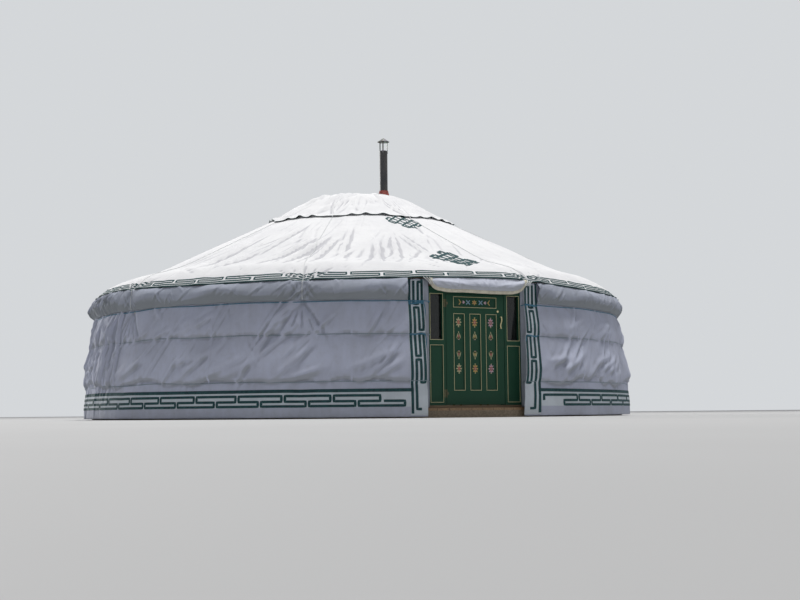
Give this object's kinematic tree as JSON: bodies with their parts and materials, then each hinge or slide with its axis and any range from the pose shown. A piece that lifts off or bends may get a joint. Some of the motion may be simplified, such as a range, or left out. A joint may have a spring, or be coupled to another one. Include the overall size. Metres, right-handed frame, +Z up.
{
  "type": "yurt",
  "caption": "Round felt and canvas yurt on a timber floor: lattice wall, bent roof poles, crown wheel, tied crown cover, flue, and a panelled door that swings outward",
  "frame": {"origin": "on the yurt's upright axis, at the level of the ground that the floor's bearers rest on", "axes": "+Z up, the door faces -Y, +X to the right of someone who faces the door from outside"},
  "size_m": [7.588, 7.5253, 3.9622],
  "materials": {
    "timber": "weathered boards",
    "frame_wood": "oiled ash",
    "wall_canvas": "proofed canvas, slightly grubby",
    "roof_canvas": "proofed canvas",
    "white_rope": "braided cord",
    "blue_rope": "twisted polypropylene",
    "border_tape": "dark green cotton tape",
    "felt": "undyed wool felt",
    "trim_paint": "painted beads and carving",
    "green_paint": "gloss painted wood",
    "glass": "clear",
    "brass": "dull",
    "flue_enamel": "dark enamel",
    "red_rubber": "silicone",
    "galvanised": "pale galvanised"
  },
  "bodies": {
    "structure": {"crown_cover_1": "roof_canvas", "crown_cover_2": "roof_canvas", "crown_ring": "frame_wood", "crown_spokes": "frame_wood", "crown_ties": "white_rope", "door_head": "green_paint", "door_poles": "frame_wood", "door_sill": "green_paint", "door_valance": "wall_canvas", "eave_skirt": "wall_canvas", "floor_deck": "timber", "floor_frame": "timber", "flue_boot": "red_rubber", "flue_cowl": "galvanised", "flue_pipe": "flue_enamel", "hinge_pins": "brass", "lattice_1": "frame_wood", "lattice_2": "frame_wood", "lattice_3": "frame_wood", "lattice_4": "frame_wood", "lattice_5": "frame_wood", "lattice_6": "frame_wood", "left_sidelight": "green_paint", "right_sidelight": "green_paint", "roof_cover_1": "roof_canvas", "roof_cover_2": "roof_canvas", "roof_cover_3": "roof_canvas", "roof_cover_4": "roof_canvas", "roof_cover_5": "roof_canvas", "roof_cover_6": "roof_canvas", "roof_poles_1": "frame_wood", "roof_poles_2": "frame_wood", "sidelight_glass": "glass", "wall_cover_1": "wall_canvas", "wall_cover_2": "wall_canvas", "wall_cover_3": "wall_canvas", "wall_cover_4": "wall_canvas", "wall_cover_5": "wall_canvas", "wall_cover_6": "wall_canvas", "wall_ropes": "blue_rope"},
    "door": {"door_handle": "brass", "door_leaf": "green_paint", "door_panels": "green_paint", "hinge_straps": "brass"}
  },
  "joints": [
    {"name": "door_hinge", "type": "hinge", "parent": "structure", "child": "door", "pos_m": [-0.385, -3.546, 0.8], "axis": [0, 0, -1], "range_deg": [0, 110]}
  ]
}
